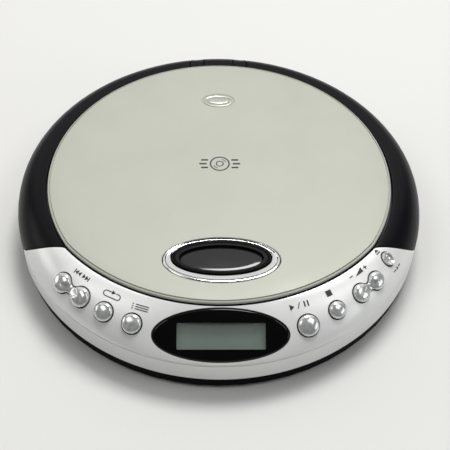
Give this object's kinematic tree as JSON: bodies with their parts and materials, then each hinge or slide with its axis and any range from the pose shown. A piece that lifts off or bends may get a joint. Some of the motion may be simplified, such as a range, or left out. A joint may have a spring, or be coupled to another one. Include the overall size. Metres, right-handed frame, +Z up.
{
  "type": "portable cd player",
  "caption": "Round portable disc player with a hinged lid, oval lid window, oval display on a sloped front panel, rows of small keys, disc drive and battery box.",
  "frame": {"origin": "centre of the case's outline, at the underside of its feet", "axes": "+Z up out of the lid; -Y towards the display at the front; +X to the right of a user facing the display"},
  "size_m": [0.1516, 0.1518, 0.0277],
  "materials": {
    "black_plastic": "satin black",
    "silver_plastic": "satin silver paint on plastic",
    "dark_plastic": "matt black",
    "chrome": "polished",
    "smoked_lens": "gloss, smoked",
    "display_glass": "grey-green display",
    "rubber": "matt",
    "steel": "plain",
    "white_plastic": "natural acetal",
    "brass": "plain",
    "circuit_board": "coated board"
  },
  "bodies": {
    "case": {"lower_case": "black_plastic", "upper_case": "black_plastic", "lcd_holder": "black_plastic", "front_fascia": "silver_plastic", "disc_well": "dark_plastic", "headphone_jack": "dark_plastic", "power_jack": "dark_plastic", "display_lens": "smoked_lens", "lcd_panel": "display_glass", "foot_left_front": "rubber", "foot_left_rear": "rubber", "foot_right_front": "rubber", "foot_right_rear": "rubber", "damper_front_left": "rubber", "damper_front_right": "rubber", "damper_rear": "rubber", "battery_spring_front": "steel", "battery_spring_rear": "steel", "battery_contact_left": "steel", "battery_contact_right": "steel", "case_screw_front_left": "steel", "case_screw_front_right": "steel", "case_screw_rear_left": "steel", "case_screw_rear_right": "steel", "hinge_pin": "steel", "lid_spring": "steel", "latch_spring": "steel", "mech_chassis": "steel", "spindle_motor": "steel", "sled_motor": "steel", "guide_rod_left": "steel", "guide_rod_right": "steel", "main_board": "circuit_board", "key_board_left": "circuit_board", "key_board_right": "circuit_board"},
    "lid": {"lid_cover": "silver_plastic", "lid_liner": "black_plastic", "window_bezel": "chrome", "window_lens": "smoked_lens"},
    "battery_door": {"battery_door": "black_plastic"},
    "skip_rocker": {"skip_rocker": "chrome"},
    "volume_rocker": {"volume_rocker": "chrome"},
    "repeat_button": {"repeat_button": "chrome"},
    "program_button": {"program_button": "chrome"},
    "play_button": {"play_button": "chrome"},
    "stop_button": {"stop_button": "chrome"},
    "open_button": {"open_button": "silver_plastic"},
    "latch_slider": {"latch_slider": "dark_plastic"},
    "hold_switch": {"hold_switch": "dark_plastic"},
    "bass_switch": {"bass_switch": "dark_plastic"},
    "turntable": {"turntable_hub": "dark_plastic"},
    "pickup": {"pickup_sled": "dark_plastic", "objective_lens": "smoked_lens"},
    "sled_gear": {"sled_gear": "white_plastic"},
    "sled_pinion": {"sled_pinion": "brass"}
  },
  "joints": [
    {"name": "lid_hinge", "type": "hinge", "parent": "case", "child": "lid", "pos_m": [0, 0.0675, 0.0205], "axis": [-1, 0, 0], "range_deg": [0, 70]},
    {"name": "battery_door_hinge", "type": "hinge", "parent": "case", "child": "battery_door", "pos_m": [0, 0.0554, 0.0021], "axis": [1, 0, 0], "range_deg": [0, 90]},
    {"name": "repeat_button_press", "type": "slide", "parent": "case", "child": "repeat_button", "axis": [0.2856, 0.5533, -0.7825], "range_m": [0, 0.0006], "stiffness_N_per_m": 600},
    {"name": "program_button_press", "type": "slide", "parent": "case", "child": "program_button", "axis": [0.188, 0.5706, -0.7994], "range_m": [0, 0.0006], "stiffness_N_per_m": 600},
    {"name": "play_button_press", "type": "slide", "parent": "case", "child": "play_button", "axis": [-0.189, 0.58, -0.7924], "range_m": [0, 0.0006], "stiffness_N_per_m": 600},
    {"name": "stop_button_press", "type": "slide", "parent": "case", "child": "stop_button", "axis": [-0.2802, 0.5408, -0.7931], "range_m": [0, 0.0006], "stiffness_N_per_m": 600},
    {"name": "open_press", "type": "slide", "parent": "case", "child": "open_button", "axis": [-0.4383, 0.3262, -0.8376], "range_m": [0, 0.0008], "stiffness_N_per_m": 600},
    {"name": "latch_slide", "type": "slide", "parent": "case", "child": "latch_slider", "axis": [0.8348, -0.5505, 0], "range_m": [0, 0.0008]},
    {"name": "skip_rocker_rock", "type": "hinge", "parent": "case", "child": "skip_rocker", "pos_m": [-0.04952, -0.04852, 0.02016], "axis": [0.522, 0.5568, 0.6461], "range_deg": [-4, 4], "stiffness_Nm_per_rad": 0.02},
    {"name": "volume_rocker_rock", "type": "hinge", "parent": "case", "child": "volume_rocker", "pos_m": [0.04969, -0.04768, 0.02058], "axis": [-0.5393, 0.5738, 0.6163], "range_deg": [-4, 4], "stiffness_Nm_per_rad": 0.02},
    {"name": "hold_slide", "type": "slide", "parent": "case", "child": "hold_switch", "axis": [-0.3746, 0.9272, 0], "range_m": [0, 0.003]},
    {"name": "bass_slide", "type": "slide", "parent": "case", "child": "bass_switch", "axis": [-0.5878, 0.809, 0], "range_m": [0, 0.003]},
    {"name": "spindle_spin", "type": "hinge", "parent": "case", "child": "turntable", "pos_m": [0, 0.0022, 0.0202], "axis": [0, 0, 1], "continuous": true},
    {"name": "pickup_slide", "type": "slide", "parent": "case", "child": "pickup", "axis": [0, -1, 0], "range_m": [0, 0.03]},
    {"name": "gear_spin", "type": "hinge", "parent": "case", "child": "sled_gear", "pos_m": [0.0275, -0.026, 0.0109], "axis": [0, 0, 1], "range_deg": [0, 287]},
    {"name": "pinion_spin", "type": "hinge", "parent": "case", "child": "sled_pinion", "pos_m": [0.036, -0.026, 0.0109], "axis": [0, 0, 1], "range_deg": [-688, 0]}
  ],
  "couplings": [
    {"joint": "gear_spin", "follows": "pickup_slide", "rad_per_m": 166.67},
    {"joint": "pinion_spin", "follows": "pickup_slide", "rad_per_m": -400},
    {"joint": "latch_slide", "follows": "open_press", "ratio": 1}
  ]
}
